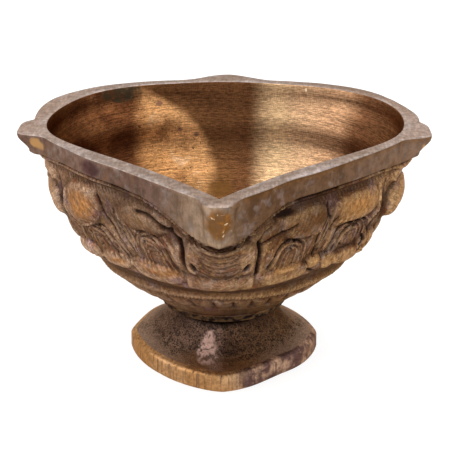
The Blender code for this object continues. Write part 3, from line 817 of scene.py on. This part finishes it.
def relief_look(n):
    """Cast work: brown patina, painted shade in the cuts and hollows, rubbed bright on the heads and lips,
    with painted highlights and glints on the ridges.
    """
    cavity = n.attribute("cavity")
    cut = n.attribute("cut")
    worn = n.attribute("worn")
    drift = n.noise(95.0, 5.0)
    tint = n.noise(560.0, 5.0, 0.62)
    grain = n.noise(1500.0, 4.0, 0.6)
    fine = n.noise(4200.0, 3.0, 0.65)
    # painted shade: the right side is darker and warmer, as light falls from the left
    side = n.ramp(n.x, -0.20, 0.25)
    pale = n.mix(side, (0.2, 0.118, 0.074), (0.16, 0.086, 0.044))
    deep = n.mix(side, (0.125, 0.06, 0.034), (0.098, 0.043, 0.02))
    n.colour = n.mix(n.ramp(drift, *NOISE_MIDDLE), deep, pale)
    n.over((0.125, 0.036, 0.016), n.ramp(tint, 0.52, 0.66), 0.6)
    n.over((0.24, 0.13, 0.052), n.ramp(tint, 0.47, 0.36), 0.5)
    right_end = n.times(n.ramp(n.x, 0.62, 0.78), n.ramp(n.z, 0.84, 0.92))
    n.over((0.33, 0.19, 0.095), right_end, 0.55)
    left_end = n.ramp(n.x, -0.66, -0.84)
    n.over((0.29, 0.185, 0.125), left_end, 0.55)
    grey = n.ramp(n.noise(430.0, 5.0, 0.6), 0.52, 0.66)
    n.over((0.225, 0.165, 0.135), grey, 0.5)
    violet = n.times(n.ramp(n.noise(240.0, 4.0, 0.6), 0.54, 0.64), n.ramp(side, 0.0, 1.0, 0.65, 0.35))
    n.over((0.165, 0.1, 0.11), violet)
    rub = n.times(worn, n.ramp(tint, 0.25, 0.55))
    n.over(n.mix(side, (0.3, 0.128, 0.04), (0.235, 0.11, 0.036)), rub, 0.85)
    n.over((0.5, 0.29, 0.115), worn, n.ramp(fine, 0.52, 0.66), 0.7)
    # painted highlight: convex places lightened by the cavity field
    lit = n.times(n.ramp(cavity, 0.15, 0.95), 0.5)
    n.over(n.mix(side, (0.34, 0.225, 0.15), (0.3, 0.18, 0.085)), lit)
    across = n.times(n.attribute("weft"), 120.0)
    along = n.times(n.attribute("warp"), 16.0)
    strokes = n.node("ShaderNodeCombineXYZ", {0: across, 1: along, 2: n.times(n.math("SIGN", n.x), 7.0)})
    streaks = n.noise(1.0, 4.0, 0.6, 0.4, strokes.outputs[0])
    n.shade(streaks, 0.98, 1.48)
    n.shade(grain, 1.30, 0.76)
    # painted light and shade: broad bumps lightened, broad hollows darkened
    n.shade(n.math("MULTIPLY_ADD", n.attribute("swell"), 0.16, 0.5), 0.66, 1.2)
    n.shade(fine, 1.24, 0.74)
    # painted shade: hollows darkened by the cavity field
    n.over((0.045, 0.024, 0.017), n.ramp(cavity, -0.15, -0.95), 0.6)
    glint = n.times(n.ramp(n.noise(1700.0, 3.0, 0.6), 0.6, 0.68), n.ramp(cavity, -0.1, 0.5))
    n.over(n.mix(side, (0.52, 0.37, 0.23), (0.56, 0.36, 0.15)), glint, 0.75)
    soot = n.times(n.ramp(n.noise(2100.0, 3.0, 0.6), 0.58, 0.66), n.ramp(cavity, 0.4, -0.3))
    n.over((0.02, 0.012, 0.012), soot, 0.75)
    # hair lines between the leaf arches, finer than the cast relief
    shaky = n.plus(n.attribute("phase"), n.times(n.noise(500.0, 3.0), 0.9))
    wave = n.math("ABSOLUTE", n.minus(n.math("FRACT", shaky), 0.5))
    hair = n.times(n.ramp(wave, 0.3, 0.06), n.attribute("fine"))
    hair = n.times(hair, n.ramp(tint, 0.3, 0.55, 0.35, 1.0))
    bright = n.times(n.ramp(wave, 0.36, 0.48), n.attribute("fine"))
    n.over((0.33, 0.215, 0.14), bright, 0.6)
    n.over((0.044, 0.027, 0.02), hair, 0.46)
    # painted shade in the cuts, with ragged edges
    ragged = n.times(cut, n.ramp(n.noise(420.0, 3.0), 0.25, 0.55, 0.55, 1.0))
    n.over((0.016, 0.01, 0.01), n.ramp(ragged, 0.25, 0.95))
    # the heads beside the spout are darker, and painted shade darkens the downward-facing rope and petal
    # bands
    beside = n.times(n.ramp(n.z, 0.88, 0.93), n.ramp(n.math("ABSOLUTE", n.x), 0.62, 0.48))
    beside = n.times(beside, n.ramp(n.y, -0.3, -0.45))
    n.over((0.035, 0.017, 0.01), beside, 0.5)
    n.over((0.04, 0.019, 0.01), n.ramp(n.z, 0.63, 0.6, 0.0, 0.3), n.ramp(n.z, 0.47, 0.53))
    lowest = n.times(n.ramp(n.z, 0.45, 0.42), n.ramp(n.noise(900.0, 4.0, 0.65), 0.44, 0.58))
    n.over((0.28, 0.16, 0.07), lowest, 0.45)
    rough = n.ramp(cut, 0.0, 0.8, 0.36, 0.75)
    skin_height = n.plus(n.times(grain, 0.7), n.times(streaks, 1.6))
    skin_height = n.minus(skin_height, n.times(hair, 0.9))
    return n.colour, skin_height, rough


def wall_metal():
    """Smooth filed band above its edge, cast relief below it."""
    n = Nodes("bowl_wall")
    band = n.ramp(n.attribute("above"), -0.0022, 0.0022)
    band_colour, band_height = band_look(n)
    relief_colour, relief_height, relief_rough = relief_look(n)
    n.colour = n.mix(band, relief_colour, band_colour)
    rough = n.plus(n.times(band, 0.44), n.times(n.minus(1.0, band), relief_rough))
    height = n.plus(n.times(band, band_height, 0.25), n.times(n.minus(1.0, band), relief_height))
    return n.finish(rough, n.bump(height, 0.45, 0.00025))


def well_metal():
    """Turned well: fine level lines under a fan of painted reflections and shade that spreads from the
    spout.
    """
    n = Nodes("well_brass")
    lines = n.stretched((70.0, 70.0, 9000.0), 3.0)
    fine = n.stretched((900.0, 900.0, 7000.0), 3.0)
    cloth = n.stretched((5200.0, 5200.0, 900.0), 3.0)
    drift = n.noise(75.0, 5.0)
    fan = n.times(n.math("ARCTAN2", n.x, n.plus(n.y, 1.0)), 180.0 / math.pi)
    sway = n.times(n.minus(drift, 0.5), 5.0)
    rise = n.math("POWER", n.math("DIVIDE", n.minus(n.z, 0.7), 0.47, clamp=True), 2.6)
    curl = n.times(rise, 13.0, n.ramp(fan, 2.0, -2.0))
    fan = n.plus(fan, sway)
    left_zone = n.ramp(fan, -13.6, -17.6)
    fan = n.math("MINIMUM", n.plus(fan, curl), n.math("MAXIMUM", fan, 2.5))
    # the fan of painted reflections and shade spreading from the spout, in degrees, laid over a ramp from
    # -45 to 45
    place = n.math("DIVIDE", n.plus(fan, 45.0), 90.0)
    stops = ((-45, (0.40, 0.170, 0.060)), (-14, (0.60, 0.285, 0.105)), (-4.0, (0.68, 0.345, 0.140)),
             (-1.5, (0.160, 0.068, 0.026)), (3.5, (0.128, 0.052, 0.021)), (9.5, (0.66, 0.430, 0.230)),
             (13.5, (0.60, 0.365, 0.200)), (19, (0.44, 0.245, 0.130)), (25, (0.165, 0.070, 0.031)),
             (45, (0.115, 0.047, 0.020)))
    n.colour = n.bands(place, [((degrees + 45) / 90, tone) for degrees, tone in stops])
    # the dark left band of the painted reflection fan, mottled red brown
    left_band_mottle = n.mix(n.ramp(n.noise(130.0), 0.42, 0.62), (0.118, 0.04, 0.015), (0.235, 0.092, 0.034))
    n.over(left_band_mottle, left_zone)
    # painted reflection: a paler band high on the right
    pale = n.times(n.ramp(n.z, 0.98, 1.12), n.near(fan, 13.5, 8.5))
    n.over((0.52, 0.3, 0.165), pale, 0.5)
    # painted shade: darker low in the well, on the left and middle
    low = n.times(n.ramp(n.z, 0.86, 0.62), n.ramp(fan, 4.0, -2.0))
    n.over((0.13, 0.058, 0.018), low, 0.8)
    # painted shade: darker at the far left of the well
    far_left = n.ramp(n.x, -0.62, -0.84)
    n.over((0.062, 0.018, 0.007), far_left, 0.7)
    # darker and paler blotches over the gold band of the painted reflection fan
    patchy = n.noise(210.0, 5.0, 0.65)
    on_gold = n.near(fan, -9.0, 7.0)
    n.over((0.2, 0.08, 0.03), on_gold, n.ramp(patchy, 0.5, 0.66), 0.65)
    n.over((0.66, 0.43, 0.25), on_gold, n.ramp(patchy, 0.46, 0.34), 0.5)
    n.shade(lines, 0.68, 1.18)
    n.shade(fine, 0.66, 1.32)
    n.shade(cloth, 0.80, 1.16)
    specks = n.times(n.ramp(n.noise(2300.0, 2.0), 0.63, 0.68), n.ramp(fan, -2.0, -4.0))
    specks = n.times(specks, n.ramp(patchy, 0.4, 0.55))
    n.over((0.03, 0.018, 0.014), specks)
    for centre in ((-0.37, 0.78, 1.08), (-0.26, 0.77, 0.94), (-0.17, 0.77, 0.91)):
        spot_mask = n.patch(centre, (0.026, 0.06, 0.020), 3.0)
        n.over((0.1, 0.04, 0.048), spot_mask, 0.7)
    lens = n.patch((-0.030, 0.550, 0.664), (0.085, 0.070, 0.046), 0.6)
    n.over((0.105, 0.045, 0.012), lens, 0.75)
    fleck = n.patch((0.431, 0.771, 1.159), (0.007, 0.040, 0.012))
    n.over((0.95, 0.74, 0.5), fleck)
    tarnish = n.patch((-0.58, 0.70, 1.150), (0.13, 0.12, 0.050), 3.2)
    tarnish = n.times(tarnish, n.ramp(n.noise(620.0, 4.0, 0.65), 0.36, 0.58, 0.35, 0.95))
    n.over((0.05, 0.036, 0.02), tarnish)
    height = n.plus(lines, n.times(fine, 0.6))
    return n.finish(n.ramp(drift, 0.3, 0.7, 0.36, 0.48), n.bump(height, 0.22, 0.00012))


def foot_metal():
    """Cast flank of the foot: sooty and grainy, with a plain margin, a paler front ridge and a painted
    shadow under the bowl.
    """
    n = Nodes("foot_brass")
    grain = n.noise(3400.0, 4.0, 0.7)
    coarse = n.noise(1100.0, 4.0, 0.65)
    drift = n.noise(150.0, 5.0)
    side = n.ramp(n.x, -0.10, 0.15)
    pale = n.mix(side, (0.155, 0.09, 0.062), (0.15, 0.078, 0.04))
    deep = n.mix(side, (0.075, 0.04, 0.028), (0.075, 0.034, 0.017))
    n.colour = n.mix(n.ramp(drift, *NOISE_MIDDLE), deep, pale)
    margin = n.ramp(n.z, 0.150, 0.105)
    ring = n.mix(n.ramp(n.math("ABSOLUTE", n.x), 0.08, 0.32), (0.2, 0.09, 0.036), (0.26, 0.165, 0.112))
    n.over(ring, margin, 0.8)
    edge = n.ramp(n.math("ABSOLUTE", n.x), 0.3, 0.46)
    n.over((0.32, 0.215, 0.155), edge, 0.75)
    keel = n.times(n.near(n.x, -0.035, 0.06), n.ramp(n.y, -0.22, -0.3))
    n.over((0.3, 0.18, 0.14), keel, 0.55)
    wander = n.times(n.minus(drift, 0.5), 0.12)
    sooty = n.ramp(n.plus(n.z, wander), 0.108, 0.14, 0.12, 1.0)
    n.over((0.026, 0.017, 0.013), n.ramp(coarse, 0.46, 0.62), sooty, 0.65)
    n.over((0.013, 0.009, 0.008), n.ramp(grain, 0.49, 0.6), sooty, 0.92)
    n.shade(grain, 1.25, 0.85)
    # pale pinkish patch on the front ridge
    ridge_patch = n.patch((-0.072, -0.34, 0.158), (0.056, 0.13, 0.080), 2.6)
    ridge_patch = n.times(ridge_patch, n.ramp(coarse, 0.6, 0.46, 0.15, 1.0))
    n.over((0.6, 0.39, 0.32), ridge_patch, 0.85)
    # painted shadow under the bowl's overhang
    shade = n.ramp(n.z, 0.225, 0.275)
    n.over((0.012, 0.008, 0.007), shade, 0.8)
    return n.finish(0.52, n.bump(n.plus(grain, coarse), 0.45, 0.0003))


def plate_metal():
    """Filed edge of the foot's plate: golden on the left, plum brown and darker on the right, the darkening
    painted shade.
    """
    n = Nodes("plate_edge")
    files = n.stretched((2400.0, 2400.0, 60.0), 3.0)
    drift = n.noise(80.0)
    # painted shade: the right is darker, as light falls from the left; the gold and plum are the metal's
    # tones
    right = n.ramp(n.x, 0.03, 0.13)
    gold = n.mix(n.ramp(drift, *NOISE_MIDDLE), (0.37, 0.185, 0.07), (0.5, 0.3, 0.155))
    plum = n.mix(n.ramp(n.noise(260.0, 4.0, 0.6), 0.42, 0.6), (0.105, 0.056, 0.048), (0.4, 0.245, 0.16))
    n.colour = n.mix(right, gold, plum)
    n.over((0.1, 0.055, 0.04), n.ramp(files, 0.5, 0.7), 0.8)
    n.shade(n.noise(1400.0, 4.0, 0.65), 0.80, 1.25)
    return n.finish(0.42, n.bump(files, 0.3, 0.00015))


def braze_metal():
    """Dark, dull brazing alloy."""
    n = Nodes("braze_alloy")
    grain = n.noise(700.0)
    n.colour = n.mix(n.ramp(grain, 0.4, 0.6), (0.05, 0.033, 0.024), (0.022, 0.015, 0.012))
    return n.finish(0.6, n.bump(grain, 0.4, 0.0003))


# ---- bowl ----
FINE_COLUMNS = 832
CROWDING = 0.38
WELL_ROWS = 24
SEAT_RADIUS = 8.4 * MM
SPIGOT_RADIUS = 5.0 * MM
RELIEF_ROWS = 68
RELIEF_LOW_Z = 0.645
BAND_ROWS = 7
LOWER_ROWS = 34
SPIGOT_BEVEL = 0.015
CAST_GRAIN = 0.0016
CAST_LUMPS = 0.010
CAVITY_DEPTH = 0.007
SWELL_DEPTH = 0.020
RIM_DENTS = 0.006
WELL_SLOT, RIM_SLOT, WALL_SLOT = range(3)
# stored on the wall: hollows and bumps near by, cuts, wear (on the rim also painted highlight), hair lines,
# height over the band's edge, the chasing's own coordinates, and hollows and bumps further off
SURFACE_FIELDS = ("cavity", "cut", "worn", "phase", "fine", "above", "weft", "warp", "swell")


def wall_surface(theta):
    """Rings of the outside wall, the relief pushed out along its normals, and the fields stored on them."""
    levels = np.concatenate([
        np.linspace(RIM_Z - 0.005, BAND_LOW + 0.012, BAND_ROWS)[:-1],
        np.linspace(BAND_LOW + 0.012, RELIEF_LOW_Z, RELIEF_ROWS)[:-1],
        np.linspace(RELIEF_LOW_Z, BASE_Z, LOWER_ROWS),
    ])
    z = np.repeat(levels[:, None], FINE_COLUMNS, 1)
    t = np.repeat(theta[None, :], len(levels), 0)
    wall = wall_radius(t, z)
    plain = ring_xyz(wall + lug_reach(t, z, wall), t, z)
    relief, cut, worn = wall_relief(t, z)
    phase, fine = fine_lines(t, z)
    under_band = smooth(0.0, -0.02, z - band_edge(t))
    cast_skin = blur(rng.normal(size=relief.shape), 1, 1) * CAST_GRAIN
    cast_skin += blur(rng.normal(size=relief.shape), 4, 5) * CAST_LUMPS
    height = relief + cast_skin * under_band
    fade = smooth(BASE_Z, BASE_Z + 0.012, z)
    outside = plain + surface_normals(plain) * (height * fade)[..., None]
    outside[..., 2] = np.clip(outside[..., 2], BASE_Z, RIM_Z - 0.004)
    cavity = np.clip((height - blur(height, 4, 5)) / CAVITY_DEPTH, -1.0, 1.0)
    swell = np.clip((height - blur(height, 9, 13)) / SWELL_DEPTH, -1.0, 1.0)
    above = z - band_edge(t)
    weft, warp = stroke_coordinates(t, z)
    return outside, dict(zip(SURFACE_FIELDS, (cavity, cut, worn, phase, fine, above, weft, warp, swell)))


def build_bowl():
    theta = columns(FINE_COLUMNS, CROWDING)
    coarse = theta[::4]
    rings = []
    slots = []
    fields = {key: [] for key in SURFACE_FIELDS}

    def add(ring, slot, **given):
        rings.append(ring)
        slots.append(slot)
        for key in fields:
            fields[key].append(given.get(key, np.zeros(len(ring))))

    # well, from just off the floor's middle up to the rim
    for angle in np.linspace(0, math.pi / 2, WELL_ROWS + 1)[1:]:
        z = lerp(WELL_FLOOR_Z, RIM_Z - 0.006, 1.0 - math.cos(angle))
        add(ring_xyz(well_radius(coarse, z), coarse, z), WELL_SLOT)
    # ground rim with softened edges
    inner = well_radius(theta, np.full_like(theta, RIM_Z))
    wall_top = wall_radius(theta, np.full_like(theta, RIM_Z))
    outer = wall_top + lug_reach(theta, np.full_like(theta, RIM_Z), wall_top)
    add(ring_xyz(well_radius(coarse, RIM_Z) + 0.003, coarse, RIM_Z - 0.001), RIM_SLOT)
    dents = blur(rng.normal(size=(1, FINE_COLUMNS)), 0, 3)[0] * RIM_DENTS
    # rim edges lightened by wear and painted highlight, unevenly round the rim
    edge_wear_and_sheen = smooth(-0.3, 1.2, blur(rng.normal(size=(1, FINE_COLUMNS)), 0, 6)[0] * 4.0)
    add(ring_xyz(inner + 0.008 + dents, theta, RIM_Z), RIM_SLOT, worn=0.35 + 0.65 * edge_wear_and_sheen)
    add(ring_xyz(lerp(inner, outer, 0.45), theta, RIM_Z), RIM_SLOT)
    outer_worn = 0.5 * np.roll(edge_wear_and_sheen, 60)
    add(ring_xyz(outer - 0.007 + np.roll(dents, 40), theta, RIM_Z), RIM_SLOT, worn=outer_worn)
    outside, stored = wall_surface(theta)
    for k, ring in enumerate(outside):
        add(ring, WALL_SLOT, **{key: field[k] for key, field in stored.items()})
    # underside and spigot, hidden in the foot's socket
    steps = ((SEAT_RADIUS, BASE_Z), (SPIGOT_RADIUS, BASE_Z), (SPIGOT_RADIUS, SPIGOT_LOW_Z + SPIGOT_BEVEL),
             (SPIGOT_RADIUS - SPIGOT_BEVEL, SPIGOT_LOW_Z))
    for radius, level in steps:
        ring = ring_xyz(np.full_like(coarse, radius), coarse, level)
        add(ring, WALL_SLOT, above=np.full(len(coarse), -1.0))
    bowl = skin("bowl_casting", rings, (0, 0, WELL_FLOOR_Z), (0, 0, SPIGOT_LOW_Z),
                [well_metal(), rim_metal(), wall_metal()], slots, 60.0, fields)
    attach(bowl, "root")
    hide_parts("bowl")


# ---- foot ----
FOOT_COLUMNS = 480
FOOT_CORNER_MM = 18.4
FOOT_SIDE_MM = 16.6
FOOT_HOLLOW = ((8.4, 5.2), (10.8, 4.7), (12.0, 3.2), (12.4, 0.0))
HOLLOW_ROOF = 5.2 * MM
# the flank from the plate up to the neck, as (radius, height, squareness) in millimetres
FLANK = ((17.2, 3.75, 1.0), (15.9, 4.3, 1.0), (14.6, 4.9, 1.0), (13.2, 5.9, 0.95), (12.0, 7.1, 0.85),
         (10.8, 8.5, 0.7), (9.8, 10.0, 0.5))
FLANK_ROWS = 40
FOOT_GRAIN = 0.0018
FOOT_LUMPS = 0.006


def foot_plan(theta, squareness):
    quarter = math.pi / 2
    turn = np.abs(theta - quarter * np.round(theta / quarter))
    corner = np.exp(-((turn / math.radians(24.0)) ** 1.3))
    side = FOOT_SIDE_MM / FOOT_CORNER_MM
    plan = lerp(side, 1.0, corner)
    plan = plan + bulges(theta, ((0.040, 143, 0.30), (-0.052, -52, 0.36)))
    return lerp(1.0, np.minimum(plan, 1.0), squareness)


def build_foot():
    theta = columns(FOOT_COLUMNS, CROWDING)
    c = FOOT_CORNER
    seat_z = FOOT_TOP_Z - 1.1 * MM
    socket = 5.35 * MM
    socket_floor = SPIGOT_LOW_Z - 0.35 * MM
    # each ring is (radius, height, squareness): first the hollow underneath, then the plate's edge
    section = [(radius * MM, z * MM, 0.6) for radius, z in FOOT_HOLLOW]
    section += [(c - 0.5 * MM, 0.0, 1.0), (c - 0.12 * MM, 0.10 * MM, 1.0), (c, 0.5 * MM, 1.0)]
    for z in np.linspace(0.9, 3.0, 6):
        section.append((c - 0.02 * MM * z, z * MM, 1.0))
    section += [(c - 0.35 * MM, 3.35 * MM, 1.0), (c - 0.7 * MM, 3.55 * MM, 1.0)]
    plate_rows = len(section)
    for k in np.linspace(0, len(FLANK) - 1, FLANK_ROWS):
        radius, z, squareness = (np.interp(k, range(len(FLANK)), column) for column in zip(*FLANK))
        section.append((radius * MM, z * MM, squareness))
    section[-1] = (9.6 * MM, seat_z, 0.5)
    flank_end = len(section)
    section += [(SEAT_RADIUS, seat_z, 0.0), (SEAT_RADIUS, FOOT_TOP_Z, 0.0)]
    section += [(socket, FOOT_TOP_Z, 0.0), (socket, socket_floor, 0.0)]
    grid = np.stack([ring_xyz(r * foot_plan(theta, q), theta, z) for r, z, q in section])
    rough = blur(rng.normal(size=grid.shape[:2]), 1, 2) * FOOT_GRAIN
    rough += blur(rng.normal(size=grid.shape[:2]), 3, 8) * FOOT_LUMPS
    amount = np.zeros(len(section))
    amount[plate_rows + 1:flank_end - 1] = 1.0
    grid = grid + surface_normals(grid) * (rough * amount[:, None])[..., None]
    slots = [int(len(FOOT_HOLLOW) <= k < plate_rows) for k in range(len(section))]
    foot = skin("foot_casting", list(grid), (0, 0, HOLLOW_ROOF), (0, 0, socket_floor),
                [foot_metal(), plate_metal()], slots, 45.0, {})
    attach(foot, "root")
    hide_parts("foot")


# ---- braze ring ----
def finish_braze():
    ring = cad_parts["braze_ring"]
    made = braze_metal()
    for place in ring.material_slots:
        place.material = made


# ---- studio ----
WHITE = (1.0, 1.0, 1.0, 1.0)
FLOOR_GLOW = 0.80


def build_studio():
    bpy.ops.mesh.primitive_plane_add(size=4.0, location=(0, 0, 0))
    floor = bpy.context.object
    floor.name = "studio_floor"
    n = Nodes("studio_floor")
    n.colour = with_alpha((0.3, 0.3, 0.3))
    n.finish(0.95, None, metallic=0.0)
    n.shader.inputs["Emission Color"].default_value = WHITE
    n.shader.inputs["Emission Strength"].default_value = FLOOR_GLOW
    floor.data.materials.append(n.material)
    world = bpy.data.worlds.new("studio")
    bpy.context.scene.world = world
    world.use_nodes = True
    backdrop = world.node_tree.nodes["Background"]
    backdrop.inputs["Color"].default_value = WHITE
    backdrop.inputs["Strength"].default_value = 1.0

    def softbox(name, place, size, power):
        data = bpy.data.lights.new(name, "AREA")
        data.shape = "RECTANGLE"
        data.size, data.size_y = size
        data.energy = power
        lamp = bpy.data.objects.new(name, data)
        bpy.context.scene.collection.objects.link(lamp)
        lamp.location = place
        lamp.rotation_euler = (Vector((0, 0, 0.02)) - Vector(place)).to_track_quat("-Z", "Y").to_euler()

    softbox("left_panel", (-0.55, -0.15, 0.35), (0.5, 0.5), 1.1)
    softbox("top_panel", (0.05, 0.10, 0.65), (0.7, 0.7), 1.8)


# ---- camera ----
ELEVATION = math.radians(23.81)
AZIMUTH = math.radians(1.20)
DISTANCE = 5.97 * UNIT
AIM_Z = 0.56 * UNIT
SENSOR_MM = 36.0
LENS_MM = 94.58
SHIFT = (0.0027, 0.0498)


def build_camera():
    data = bpy.data.cameras.new("camera")
    data.sensor_width = SENSOR_MM
    data.lens = LENS_MM
    data.shift_x, data.shift_y = SHIFT
    data.clip_start = 0.01
    camera = bpy.data.objects.new("camera", data)
    bpy.context.scene.collection.objects.link(camera)
    flat = DISTANCE * math.cos(ELEVATION)
    height = AIM_Z + DISTANCE * math.sin(ELEVATION)
    camera.location = (flat * math.sin(AZIMUTH), -flat * math.cos(AZIMUTH), height)
    camera.rotation_euler = (math.pi / 2 - ELEVATION, 0.0, AZIMUTH)
    bpy.context.scene.camera = camera


build_bowl()
build_foot()
finish_braze()
build_studio()
build_camera()
bpy.context.scene.view_settings.view_transform = "Standard"
